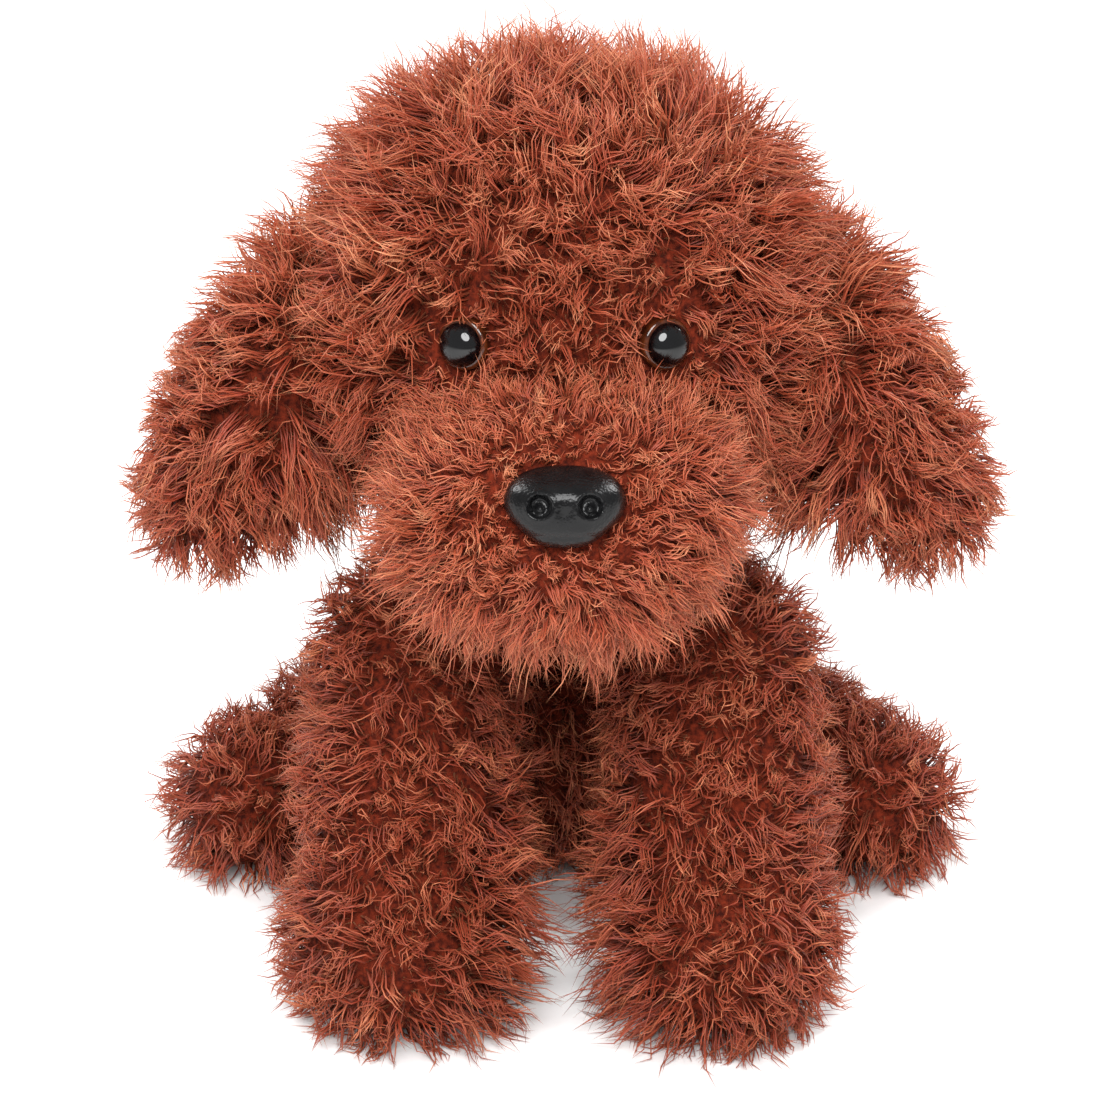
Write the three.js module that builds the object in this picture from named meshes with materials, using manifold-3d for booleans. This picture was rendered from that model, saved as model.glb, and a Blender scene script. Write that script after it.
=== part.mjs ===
// A sitting plush puppy: curly pile-fabric skins sewn over polyester fibre, with safety eyes and a safety nose.
// Millimetres, +Z up. The dog looks along -Y. Left and right are its own, so its left side is at +X.
// The origin is on the floor, under the middle of the bounding box.
import * as THREE from "three";
import { mergeVertices } from "three/addons/utils/BufferGeometryUtils.js";
import Module from "manifold-3d";

const wasm = await Module();
wasm.setup();

// Cloth, stuffing and clearances
const PILE = 6; // backing cloth with its dense pile
const SEAM_GAP = 0.4; // between panels sewn edge to edge
const FILL_GAP = 0.4; // between a skin and the fibre inside it
const JOINT_GAP = 2.5; // between a limb's round end and the hollow it turns in
const HARD_GAP = 0.4; // between plastic pieces, and between plastic and cloth

// Front legs
const SHOULDER = { out: 35, forward: 22, height: 80, radius: 24 };
const SHIN = { radius: 24, past: 12 }; // how far it runs past the middles of the shoulder and the paw
const PAW = { out: 4, forward: 25, radii: [26, 29, 26], flattened: 5 };
const SOLE = 6;

// Torso
const RUMP = { back: 48, radii: [56, 45, 44], flattened: 8 };
const CHEST = { back: 28, belowShoulders: 10, radii: [52, 30, 38] };
const BELLY_WIDTH = 50;
const BASE_HEIGHT = 8;
// A pouch of plastic pellets steadies the dog. It lies in the fibre, which parts below it where it went in.
const POUCH = { radii: [26, 22, 9], above: 3, wayIn: 10 };

// Neck, a ball that the head turns and nods on, with a cloth band round it
const NECK = { back: 16, aboveShoulders: 29, radius: 24, band: 26 };

// Head
const SKULL = [57, 55, 56]; // radii
const HEAD_FORWARD = 23; // from the neck's middle to the skull's middle
const GUSSET_WIDTH = 46;
const MUZZLE = { forward: 55, below: 27, radii: [39, 30, 29] };
const NOSE = { width: 26.6, height: 18, depth: 9.5, pitch: 22, proud: 7 };
const NOSTRIL = { across: 5.4, above: 1, radius: 2.3 };
const NOSE_SHANK = { radius: 2.5, length: 15 };
const EYE = { turn: 26, pitch: 9, proud: 1.5 };
const IRIS = { radius: 6, height: 3 };
const PUPIL = { radius: 5, height: 3.4 };
const EYE_SHANK = { radius: 2, length: 13 };
const WASHER = { thickness: 1.6, rim: 4.5, slack: 1.2 };

// Ears
const EAR = [20, 27, 46]; // radii
const EAR_SPREAD = 33; // degrees away from hanging straight down
const EAR_HINGE = { back: 3, above: 17 }; // the seam along its top, from the skull's middle
const EAR_MIDDLE = { out: 12, below: 40 }; // from the hinge
const EAR_PILE = 5;
const EAR_CLEAR = 2;

// Hind legs
const HIP = [56, 54];
const THIGH = { radii: [19, 19, 21], height: 24 };
const HOCK = [19, 19, 18]; // radii, midway between the thigh and the paw
const HIND_PAW = { out: 25, forward: 25, radii: [19, 23, 19], flattened: 2 };
const HIND_SEAM = 18;

// Tail
const TAIL_ROOT = { height: 44, radius: 10, inside: 4 };
const TAIL_STEM_RADIUS = 8;
const TAIL_TIP = { back: 18, above: 13, radius: 13 };
const TAIL_PILE = 3;

// Facets
const ROUND = 12;
const RINGS = 6;
const FAR = 500;

const RADIANS = Math.PI / 180;
const X = [1, 0, 0];
const Z = [0, 0, 1];
const SIDES = [
  [1, "left"],
  [-1, "right"],
];

const cloth = (color) =>
  new THREE.MeshStandardMaterial({ color, roughness: 0.95, metalness: 0 });
const plastic = (color, roughness) =>
  new THREE.MeshStandardMaterial({ color, roughness, metalness: 0 });
const CURLY_PILE = () => cloth(0x8a3f26);
const FIBRE = () => cloth(0xf2efe8);
const POUCH_CLOTH = () => cloth(0xd9d2c0);
const BLACK_PLASTIC = () => plastic(0x0c0c0d, 0.2);
const NOSE_PLASTIC = () => plastic(0x141416, 0.35);
const BROWN_PLASTIC = () => plastic(0x7a3d1e, 0.3);
const WASHER_PLASTIC = () => plastic(0xe8e8e4, 0.5);

// ---- Solids ------------------------------------------------------------------------------------------------------

// A closed three.js geometry as a solid that can be joined and cut.
function solid(geometry) {
  geometry.deleteAttribute("normal");
  geometry.deleteAttribute("uv");
  const merged = mergeVertices(geometry, 1e-4);
  return new wasm.Manifold(
    new wasm.Mesh({
      numProp: 3,
      vertProperties: new Float32Array(merged.attributes.position.array),
      triVerts: new Uint32Array(merged.index.array),
    }),
  );
}

function named(name, shape, material) {
  const { vertProperties, triVerts } = shape.getMesh();
  const geometry = new THREE.BufferGeometry()
    .setAttribute("position", new THREE.BufferAttribute(vertProperties, 3))
    .setIndex(new THREE.BufferAttribute(triVerts, 1));
  geometry.computeVertexNormals();
  const mesh = new THREE.Mesh(geometry, material());
  mesh.name = name;
  return mesh;
}

// An ellipsoid whose radii are made smaller all round by inset. Lean tips its top forwards and spread tips it
// towards +X, in degrees.
function ellipsoid({ at = [0, 0, 0], radii, lean = 0, spread = 0 }, inset = 0) {
  const ball = new THREE.SphereGeometry(1, ROUND, RINGS)
    .rotateX(Math.PI / 2)
    .scale(...radii.map((r) => r - inset))
    .rotateX(lean * RADIANS)
    .rotateY(spread * RADIANS)
    .translate(...at);
  return solid(ball);
}

const sphere = (radius, at) => ellipsoid({ at, radii: [radius, radius, radius] });

// A round bar along Z, from z = low to z = high.
function bar(radius, low, high) {
  const length = high - low;
  const round = new THREE.CylinderGeometry(radius, radius, length, ROUND)
    .rotateX(Math.PI / 2)
    .translate(0, 0, low + length / 2);
  return solid(round);
}

function block(low, high) {
  const size = high.map((h, i) => h - low[i]);
  const centre = high.map((h, i) => (h + low[i]) / 2);
  return solid(new THREE.BoxGeometry(...size).translate(...centre));
}

const above = (shape, normal, offset) => shape.trimByPlane(normal, offset);
const below = (shape, normal, offset) =>
  shape.trimByPlane(
    normal.map((n) => -n),
    -offset,
  );

// Two panels of one skin, either side of a plane.
const panels = (skin, normal, offset) => [
  below(skin, normal, offset - SEAM_GAP / 2),
  above(skin, normal, offset + SEAM_GAP / 2),
];

// The biggest separate body of a solid.
const biggest = (shape) =>
  shape.decompose().reduce((a, b) => (b.volume() > a.volume() ? b : a));

// A shape is a function of how far its surface is moved inwards. It gives a hollow skin, and the fibre in it.
const skinOf = (shape, wall = PILE) => shape(0).subtract(biggest(shape(wall)));
const fillOf = (shape, wall = PILE) => biggest(shape(wall + FILL_GAP));

// The way that something looks: turned from -Y towards +X, and pitched up from level, in degrees.
function way(turn, pitch) {
  const [t, p] = [turn * RADIANS, pitch * RADIANS];
  return [Math.sin(t) * Math.cos(p), -Math.cos(t) * Math.cos(p), Math.sin(p)];
}

const along = (from, direction, distance) =>
  from.map((n, i) => n + direction[i] * distance);

// Stands a solid made along +Z at a place, looking the way that turn and pitch say.
function aimed(shape, at, turn, pitch) {
  const matrix = new THREE.Matrix4()
    .makeTranslation(...at)
    .multiply(new THREE.Matrix4().makeRotationZ(turn * RADIANS))
    .multiply(new THREE.Matrix4().makeRotationX((90 - pitch) * RADIANS));
  return shape.transform(matrix.toArray());
}

// How far an ellipsoid's surface is from its middle, along a direction of length 1.
const reach = (radii, direction) =>
  1 / Math.hypot(...direction.map((d, i) => d / radii[i]));

// ---- Safety eyes and nose ----------------------------------------------------------------------------------------

// Each is a plastic front with a shank behind it, pushed through the cloth and held by a lock washer inside. They
// are made along +Z, with the back of the front at z = 0. The front is sunk in the pile, and the washer stands
// clear of the cloth that is left behind it.
const EYE_FRONT = IRIS.height + HARD_GAP + PUPIL.height;
const EYE_CLOTH = PILE - (EYE_FRONT - EYE.proud) + WASHER.slack;
const NOSE_CLOTH = PILE - (NOSE.depth - NOSE.proud) + WASHER.slack;
const SHANK_OVERLAP = 0.5;

const shankOf = (shank) => bar(shank.radius, -shank.length, SHANK_OVERLAP);
const shankRoom = (shank) =>
  bar(shank.radius + HARD_GAP, -shank.length - 1, SHANK_OVERLAP);

function washer(shank, clothDepth) {
  const top = -clothDepth - HARD_GAP;
  const low = top - WASHER.thickness;
  const hole = bar(shank.radius + HARD_GAP, low - 1, top + 1);
  return bar(shank.radius + WASHER.rim, low, top).subtract(hole);
}

function washerRoom(shank, clothDepth) {
  const low = -clothDepth - WASHER.thickness - 2 * HARD_GAP;
  return bar(shank.radius + WASHER.rim + HARD_GAP, low, -clothDepth).add(shankRoom(shank));
}

const irisSolid = () => bar(IRIS.radius, 0, IRIS.height).add(shankOf(EYE_SHANK));
const irisRoom = () =>
  bar(IRIS.radius + HARD_GAP, -HARD_GAP, FAR).add(washerRoom(EYE_SHANK, EYE_CLOTH));

function pupilSolid() {
  const dome = ellipsoid({ radii: [PUPIL.radius, PUPIL.radius, PUPIL.height] });
  return above(dome, Z, 0).translate([0, 0, IRIS.height + HARD_GAP]);
}

const noseFront = (grown) =>
  ellipsoid({ radii: [NOSE.width / 2, NOSE.height / 2, NOSE.depth] }, -grown);

function noseSolid() {
  const nostrilDepth = NOSE.depth - NOSTRIL.radius / 2;
  const nostrils = SIDES.map(([side]) =>
    sphere(NOSTRIL.radius, [side * NOSTRIL.across, NOSTRIL.above, nostrilDepth]),
  );
  return above(noseFront(0), Z, 0)
    .subtract(nostrils[0])
    .subtract(nostrils[1])
    .add(shankOf(NOSE_SHANK));
}

const noseRoom = () =>
  above(noseFront(HARD_GAP), Z, -HARD_GAP).add(washerRoom(NOSE_SHANK, NOSE_CLOTH));

// ---- Head --------------------------------------------------------------------------------------------------------

const NECK_AT = [0, NECK.back, SHOULDER.height + NECK.aboveShoulders];
const HEAD_AT = [0, NECK.back - HEAD_FORWARD, NECK_AT[2] + SKULL[2]];
const MUZZLE_AT = [0, -MUZZLE.forward, -MUZZLE.below];

const skullShape = (inset) =>
  ellipsoid({ radii: SKULL }, inset).subtract(
    sphere(
      NECK.radius + JOINT_GAP + inset,
      NECK_AT.map((n, i) => n - HEAD_AT[i]),
    ),
  );

const muzzleShape = (inset) => ellipsoid({ at: MUZZLE_AT, radii: MUZZLE.radii }, inset);

function eyeAimed(shape, side) {
  const direction = way(side * EYE.turn, EYE.pitch);
  const seat = reach(SKULL, direction) + EYE.proud - EYE_FRONT;
  const at = along([0, 0, 0], direction, seat);
  return aimed(shape, at, side * EYE.turn, EYE.pitch);
}

function noseAimed(shape) {
  const direction = way(0, NOSE.pitch);
  const seat = reach(MUZZLE.radii, direction) + NOSE.proud - NOSE.depth;
  return aimed(shape, along(MUZZLE_AT, direction, seat), 0, NOSE.pitch);
}

function addSkull(group) {
  const eyeHoles = SIDES.map(([side]) => eyeAimed(irisRoom(), side));
  // The skull's cloth is open where the muzzle is sewn on, so that the fibre runs through.
  const skin = skinOf(skullShape)
    .subtract(muzzleShape(PILE + SEAM_GAP))
    .subtract(eyeHoles[0])
    .subtract(eyeHoles[1]);
  const half = GUSSET_WIDTH / 2;
  const [right, others] = panels(skin, X, -half);
  const [middle, left] = panels(others, X, half);
  group.add(named("head_side_right", right, CURLY_PILE));
  group.add(named("head_gusset", middle, CURLY_PILE));
  group.add(named("head_side_left", left, CURLY_PILE));

  const rooms = SIDES.map(([side]) => eyeAimed(washerRoom(EYE_SHANK, EYE_CLOTH), side));
  const fill = fillOf(skullShape).subtract(rooms[0]).subtract(rooms[1]);
  group.add(named("head_fill", fill, FIBRE));
}

function addMuzzle(group) {
  const outsideSkull = skullShape(-SEAM_GAP);
  const skin = skinOf(muzzleShape).subtract(outsideSkull).subtract(noseAimed(noseRoom()));
  const [chin, bridge] = panels(skin, Z, MUZZLE_AT[2]);
  group.add(named("muzzle_chin", chin, CURLY_PILE));
  group.add(named("muzzle_bridge", bridge, CURLY_PILE));
  const fill = fillOf(muzzleShape)
    .subtract(outsideSkull)
    .subtract(noseAimed(washerRoom(NOSE_SHANK, NOSE_CLOTH)));
  group.add(named("muzzle_fill", biggest(fill), FIBRE));
}

function head() {
  const group = new THREE.Group();
  group.position.set(...HEAD_AT);
  addSkull(group);
  addMuzzle(group);
  for (const [side, word] of SIDES) {
    group.add(named("eye_iris_" + word, eyeAimed(irisSolid(), side), BROWN_PLASTIC));
    group.add(named("eye_pupil_" + word, eyeAimed(pupilSolid(), side), BLACK_PLASTIC));
    const ring = eyeAimed(washer(EYE_SHANK, EYE_CLOTH), side);
    group.add(named("eye_washer_" + word, ring, WASHER_PLASTIC));
  }
  group.add(named("nose", noseAimed(noseSolid()), NOSE_PLASTIC));
  const noseRing = noseAimed(washer(NOSE_SHANK, NOSE_CLOTH));
  group.add(named("nose_washer", noseRing, WASHER_PLASTIC));
  return group;
}

// ---- Ears --------------------------------------------------------------------------------------------------------

// An ear hangs from its hinge, the seam along its top, and lies against the side of the skull.
const skullSideAtHinge = SKULL[0] * Math.sqrt(1 - (EAR_HINGE.above / SKULL[2]) ** 2);
const EAR_AT = [skullSideAtHinge + EAR_CLEAR, EAR_HINGE.back, EAR_HINGE.above];

function ear(side, word) {
  const group = new THREE.Group();
  group.position.set(side * EAR_AT[0], EAR_AT[1], EAR_AT[2]).add(
    new THREE.Vector3(...HEAD_AT),
  );
  group.scale.x = side;
  const middle = [EAR_MIDDLE.out, 0, -EAR_MIDDLE.below];
  const whole = { at: middle, radii: EAR, spread: -EAR_SPREAD };
  const skull = (grown) =>
    ellipsoid({ at: EAR_AT.map((n) => -n), radii: SKULL }, -grown);
  const shape = (inset) =>
    below(ellipsoid(whole, inset).subtract(skull(EAR_CLEAR + inset)), Z, -inset);
  const seam = [Math.cos(EAR_SPREAD * RADIANS), 0, Math.sin(EAR_SPREAD * RADIANS)];
  const offset = middle[0] * seam[0] + middle[2] * seam[2];
  const [lining, outer] = panels(skinOf(shape, EAR_PILE), seam, offset);
  group.add(named("ear_lining_" + word, lining, CURLY_PILE));
  group.add(named("ear_outer_" + word, outer, CURLY_PILE));
  group.add(named("ear_wadding_" + word, fillOf(shape, EAR_PILE), FIBRE));
  return group;
}

// ---- Neck --------------------------------------------------------------------------------------------------------

function neck() {
  const group = new THREE.Group();
  group.position.set(...NECK_AT);
  const ball = (inset) => sphere(NECK.radius - inset, [0, 0, 0]);
  const half = NECK.band / 2;
  const band = below(above(skinOf(ball), Z, -half), Z, half);
  group.add(named("neck_band", band, CURLY_PILE));
  group.add(named("neck_fill", fillOf(ball), FIBRE));
  return group;
}

// ---- Torso -------------------------------------------------------------------------------------------------------

const RUMP_AT = [0, RUMP.back, RUMP.radii[2] - RUMP.flattened];
const CHEST_AT = [0, CHEST.back, SHOULDER.height - CHEST.belowShoulders];
const rumpBackAtTail =
  RUMP.radii[1] * Math.sqrt(1 - ((TAIL_ROOT.height - RUMP_AT[2]) / RUMP.radii[2]) ** 2);
const TAIL_AT = [0, RUMP_AT[1] + rumpBackAtTail - TAIL_ROOT.inside, TAIL_ROOT.height];

// Hollows in the torso for the round ends of the neck, the legs and the tail.
function torsoHollows(inset) {
  const room = JOINT_GAP + inset;
  const shoulders = bar(SHOULDER.radius + room, -FAR, FAR)
    .transform(new THREE.Matrix4().makeRotationY(Math.PI / 2).toArray())
    .translate([0, -SHOULDER.forward, SHOULDER.height]);
  const hips = SIDES.map(([side]) =>
    bar(THIGH.radii[0] + room, -FAR, THIGH.height + THIGH.radii[2] + room).translate([
      side * HIP[0],
      HIP[1],
      0,
    ]),
  );
  return sphere(NECK.radius + room, NECK_AT)
    .add(sphere(TAIL_ROOT.radius + room, TAIL_AT))
    .add(shoulders)
    .add(hips[0])
    .add(hips[1]);
}

function torso() {
  const group = new THREE.Group();
  const whole = (inset) =>
    ellipsoid({ at: CHEST_AT, radii: CHEST.radii }, inset).add(
      ellipsoid({ at: RUMP_AT, radii: RUMP.radii }, inset),
    );
  const shape = (inset) => above(whole(inset), Z, inset).subtract(torsoHollows(inset));
  const [base, sides] = panels(skinOf(shape), Z, BASE_HEIGHT);
  const half = BELLY_WIDTH / 2;
  const front = (gap) =>
    block([-half - gap, -FAR, -FAR], [half + gap, RUMP_AT[1] + gap, FAR]);
  const [right, left] = panels(sides.subtract(front(SEAM_GAP)), X, 0);
  group.add(named("torso_base", base, CURLY_PILE));
  group.add(named("torso_belly", biggest(sides.intersect(front(0))), CURLY_PILE));
  group.add(named("torso_side_right", right, CURLY_PILE));
  group.add(named("torso_side_left", left, CURLY_PILE));

  const pouchAt = [0, RUMP_AT[1], PILE + FILL_GAP + POUCH.above + POUCH.radii[2]];
  const pouch = (grown) => ellipsoid({ at: pouchAt, radii: POUCH.radii }, -grown);
  const wayIn = bar(POUCH.wayIn, -FAR, pouchAt[2]).translate([0, pouchAt[1], 0]);
  const pouchRoom = pouch(FILL_GAP).add(wayIn);
  group.add(named("torso_fill", fillOf(shape).subtract(pouchRoom), FIBRE));
  const inside = biggest(shape(PILE + 2 * FILL_GAP));
  group.add(named("pellet_pouch", pouch(0).intersect(inside), POUCH_CLOTH));
  return group;
}

// ---- Legs and tail -----------------------------------------------------------------------------------------------

// A front leg is measured from the shoulder, which it swings on.
function frontLeg(side, word) {
  const group = new THREE.Group();
  group.position.set(side * SHOULDER.out, -SHOULDER.forward, SHOULDER.height);
  group.scale.x = side;
  const floor = -SHOULDER.height;
  const pawAt = [PAW.out, -PAW.forward, floor + PAW.radii[2] - PAW.flattened];
  const shin = {
    at: pawAt.map((n) => n / 2),
    radii: [SHIN.radius, SHIN.radius, Math.hypot(...pawAt) / 2 + SHIN.past],
    lean: Math.atan2(pawAt[1], -pawAt[2]) / RADIANS,
  };
  const shape = (inset) =>
    above(
      sphere(SHOULDER.radius - inset, [0, 0, 0])
        .add(ellipsoid(shin, inset))
        .add(ellipsoid({ at: pawAt, radii: PAW.radii }, inset)),
      Z,
      floor + inset,
    );
  const [sole, sides] = panels(skinOf(shape), Z, floor + SOLE);
  const [inner, outer] = panels(sides, X, 0);
  group.add(named("front_sole_" + word, sole, CURLY_PILE));
  group.add(named("front_leg_inner_" + word, inner, CURLY_PILE));
  group.add(named("front_leg_outer_" + word, outer, CURLY_PILE));
  group.add(named("front_leg_fill_" + word, fillOf(shape), FIBRE));
  return group;
}

// A hind leg lies splayed out on the floor and turns level about the hip, whose place on the floor it is
// measured from.
function hindLeg(side, word) {
  const group = new THREE.Group();
  group.position.set(side * HIP[0], HIP[1], 0);
  group.scale.x = side;
  const thigh = { at: [0, 0, THIGH.height], radii: THIGH.radii };
  const paw = {
    at: [HIND_PAW.out, -HIND_PAW.forward, HIND_PAW.radii[2] - HIND_PAW.flattened],
    radii: HIND_PAW.radii,
  };
  const hock = { at: thigh.at.map((n, i) => (n + paw.at[i]) / 2), radii: HOCK };
  const shape = (inset) =>
    above(
      ellipsoid(thigh, inset).add(ellipsoid(hock, inset)).add(ellipsoid(paw, inset)),
      Z,
      inset,
    );
  const [lower, upper] = panels(skinOf(shape), Z, HIND_SEAM);
  group.add(named("hind_leg_lower_" + word, lower, CURLY_PILE));
  group.add(named("hind_leg_upper_" + word, upper, CURLY_PILE));
  group.add(named("hind_leg_fill_" + word, fillOf(shape), FIBRE));
  return group;
}

function tail() {
  const group = new THREE.Group();
  group.position.set(...TAIL_AT);
  const tipAt = new THREE.Vector3(0, TAIL_TIP.back, TAIL_TIP.above);
  const stemTurn = new THREE.Quaternion().setFromUnitVectors(
    new THREE.Vector3(...Z),
    tipAt.clone().normalize(),
  );
  const stemMatrix = new THREE.Matrix4().makeRotationFromQuaternion(stemTurn).toArray();
  const shape = (inset) =>
    sphere(TAIL_ROOT.radius - inset, [0, 0, 0])
      .add(sphere(TAIL_TIP.radius - inset, tipAt.toArray()))
      .add(bar(TAIL_STEM_RADIUS - inset, 0, tipAt.length()).transform(stemMatrix));
  const [right, left] = panels(skinOf(shape, TAIL_PILE), X, 0);
  group.add(named("tail_skin_right", right, CURLY_PILE));
  group.add(named("tail_skin_left", left, CURLY_PILE));
  group.add(named("tail_fill", fillOf(shape, TAIL_PILE), FIBRE));
  return group;
}

// ---- The dog -----------------------------------------------------------------------------------------------------

const dog = new THREE.Group();
dog.add(head(), neck(), torso(), tail());
for (const [side, word] of SIDES) {
  dog.add(ear(side, word), frontLeg(side, word), hindLeg(side, word));
}

const bounds = new THREE.Box3().setFromObject(dog);
const middle = bounds.getCenter(new THREE.Vector3());
dog.position.set(-middle.x, -middle.y, -bounds.min.z);

export default dog;
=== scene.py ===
"""A sitting plush puppy: locks of curly russet pile on padded cloth skins, with a moulded nose and eyes."""

import math

import bmesh
import bpy
import numpy as np
from mathutils import Matrix, Vector, bvhtree, kdtree, noise


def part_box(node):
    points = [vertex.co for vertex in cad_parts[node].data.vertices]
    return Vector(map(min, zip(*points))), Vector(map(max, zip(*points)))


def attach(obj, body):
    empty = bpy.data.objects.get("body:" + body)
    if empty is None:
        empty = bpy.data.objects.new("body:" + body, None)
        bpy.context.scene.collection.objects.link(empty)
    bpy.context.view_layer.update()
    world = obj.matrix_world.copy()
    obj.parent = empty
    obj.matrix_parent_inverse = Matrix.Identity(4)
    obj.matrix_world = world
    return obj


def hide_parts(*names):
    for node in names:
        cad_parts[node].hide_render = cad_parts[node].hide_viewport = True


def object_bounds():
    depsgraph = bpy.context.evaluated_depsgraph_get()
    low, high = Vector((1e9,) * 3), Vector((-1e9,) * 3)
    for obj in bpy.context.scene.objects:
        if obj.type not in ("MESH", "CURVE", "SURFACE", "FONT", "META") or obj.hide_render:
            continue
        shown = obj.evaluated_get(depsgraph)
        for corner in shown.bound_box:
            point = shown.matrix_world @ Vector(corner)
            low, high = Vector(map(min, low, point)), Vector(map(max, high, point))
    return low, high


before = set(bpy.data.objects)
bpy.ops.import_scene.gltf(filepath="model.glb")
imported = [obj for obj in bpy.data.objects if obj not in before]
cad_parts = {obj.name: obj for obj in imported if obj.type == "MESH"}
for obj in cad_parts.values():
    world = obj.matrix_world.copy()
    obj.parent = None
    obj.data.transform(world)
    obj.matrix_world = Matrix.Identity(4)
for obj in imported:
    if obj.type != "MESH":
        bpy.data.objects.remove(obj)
CAD_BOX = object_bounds()

MM = 0.001
UP = np.array([0.0, 0.0, 1.0])
AHEAD = np.array([0.0, -1.0, 0.0])
SIDES = ((1, "left"), (-1, "right"))


def middle(*nodes):
    """The middle of the box round some CAD nodes."""
    boxes = [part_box(n) for n in nodes]
    low = np.min([b[0] for b in boxes], axis=0)
    high = np.max([b[1] for b in boxes], axis=0)
    return (low + high) / 2


# ---- Camera, light and floor ----------------------------------------------------------------------------------

VIEW_DOWN = math.radians(23.6)
VIEW_DISTANCE = 0.853
VIEW_WIDTH = math.radians(17.9)
VIEW_AT = Vector((-0.0032, -0.0114, 0.100))


def add_camera():
    camera = bpy.data.objects.new("camera", bpy.data.cameras.new("camera"))
    bpy.context.collection.objects.link(camera)
    back = Vector((0, -math.cos(VIEW_DOWN), math.sin(VIEW_DOWN)))
    camera.location = VIEW_AT + back * VIEW_DISTANCE
    camera.rotation_euler = (math.pi / 2 - VIEW_DOWN, 0, 0)
    camera.data.angle = VIEW_WIDTH
    camera.data.clip_start = 0.01
    bpy.context.scene.camera = camera


def add_softbox(name, at, across, watts):
    """A round lamp that looks at the dog."""
    lamp = bpy.data.lights.new(name, "AREA")
    lamp.shape = "DISK"
    lamp.size = across
    lamp.energy = watts
    softbox = bpy.data.objects.new(name, lamp)
    bpy.context.collection.objects.link(softbox)
    softbox.location = at
    toward = Vector((0, 0, 0.12)) - Vector(at)
    softbox.rotation_euler = toward.to_track_quat("-Z", "Y").to_euler()


def add_studio():
    world = bpy.data.worlds.new("studio")
    bpy.context.scene.world = world
    world.use_nodes = True
    background = world.node_tree.nodes["Background"]
    background.inputs["Color"].default_value = (1, 1, 1, 1)
    background.inputs["Strength"].default_value = 0.5
    add_softbox("key", (-0.05, -1.0, 1.1), 0.9, 30)
    add_softbox("rim_left", (-0.9, 0.7, 0.9), 0.7, 13)
    add_softbox("rim_right", (0.9, 0.7, 0.9), 0.7, 13)
    bpy.context.scene.view_settings.view_transform = "Standard"


# ---- Materials ---------------------------------------------------------------------------------------------------


def linear(sheet_colour):
    """An sRGB hex colour as linear red, green, blue and alpha."""
    parts = [int(sheet_colour[i : i + 2], 16) / 255 for i in (1, 3, 5)]
    return [p / 12.92 if p <= 0.04045 else ((p + 0.055) / 1.055) ** 2.4 for p in parts] + [1.0]


def add_node(tree, kind, settings=None, **sockets):
    """A node with its settings, whose sockets take a value or another node's output. A socket is named with
    underscores for its spaces, or by its number after an i."""
    node = tree.nodes.new("ShaderNode" + kind)
    for name, value in (settings or {}).items():
        setattr(node, name, value)
    for name, value in sockets.items():
        socket = node.inputs[int(name[1:]) if name[1:].isdigit() else name.replace("_", " ")]
        if isinstance(value, bpy.types.NodeSocket):
            tree.links.new(value, socket)
        else:
            socket.default_value = value
    return node


def new_material(name, **sockets):
    """A material with a Principled shader, and its tree and shader."""
    material = bpy.data.materials.new(name)
    material.use_nodes = True
    tree = material.node_tree
    shader = tree.nodes["Principled BSDF"]
    for socket, value in sockets.items():
        shader.inputs[socket.replace("_", " ")].default_value = value
    return material, tree, shader


def add_ramp(tree, value, stops):
    ramp = add_node(tree, "ValToRGB", Fac=value)
    elements = ramp.color_ramp.elements
    while len(elements) < len(stops):
        elements.new(0.5)
    for element, (place, colour) in zip(elements, stops):
        element.position = place
        element.color = linear(colour)
    return ramp.outputs["Color"]


def add_bump(tree, shader, height, distance):
    """Fine relief, distance mm from its lowest to its highest."""
    bump = add_node(tree, "Bump", Height=height, Distance=distance * MM)
    tree.links.new(bump.outputs["Normal"], shader.inputs["Normal"])


def curly_pile(name, root, half_way, tip, painted_highlight_tip):
    """Polyester pile, dyed russet in the yarn. Along each lock its colour carries painted shade, deep russet at the
    root where locks shade each other, and a painted highlight, paler where the curled ends catch light. It is soft and
    nearly matt, with a faint sheen of fibre."""
    material, tree, shader = new_material(
        name, Roughness=0.5, Sheen_Weight=0.15, Sheen_Roughness=0.4, Specular_IOR_Level=0.4
    )
    shader.inputs["Sheen Tint"].default_value = linear("#f0a878")
    along = add_node(tree, "Attribute", {"attribute_name": "along"}).outputs["Fac"]
    tone = add_node(tree, "Attribute", {"attribute_name": "tone"}).outputs["Fac"]
    # Painted shade at each lock's root and a painted highlight towards its tip; the pale ramp's last colour is the
    # brightest painted highlight, on the tips of the tufts whose random tone is high.
    plain = add_ramp(tree, along, [(0.0, root), (0.45, half_way), (1.0, tip)])
    pale = add_ramp(tree, along, [(0.0, root), (0.4, tip), (1.0, painted_highlight_tip)])
    mix = add_node(tree, "Mix", {"data_type": "RGBA"}, Factor=tone, i6=plain, i7=pale)
    tree.links.new(mix.outputs[2], shader.inputs["Base Color"])
    return material


def backing_cloth():
    """Knitted polyester backing with its shortest pile, seen only between the locks, where it is in deep shade. Its
    colours are drawn darker than the pile's, as painted shade for those gaps. The stitches of the real knit are under 1
    mm, and are drawn at 1.5 mm to show."""
    material, tree, shader = new_material("knitted_backing", Roughness=0.95, Specular_IOR_Level=0.1)
    place = add_node(tree, "TexCoord").outputs["Object"]
    knit = add_node(tree, "TexNoise", Vector=place, Scale=650.0, Detail=4.0, Roughness=0.6)
    # Dark reds: painted shade for the gaps between the locks.
    colour = add_ramp(tree, knit.outputs["Fac"], [(0.35, "#34100a"), (0.65, "#702816")])
    tree.links.new(colour, shader.inputs["Base Color"])
    add_bump(tree, shader, knit.outputs["Fac"], 0.8)
    return material


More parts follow.
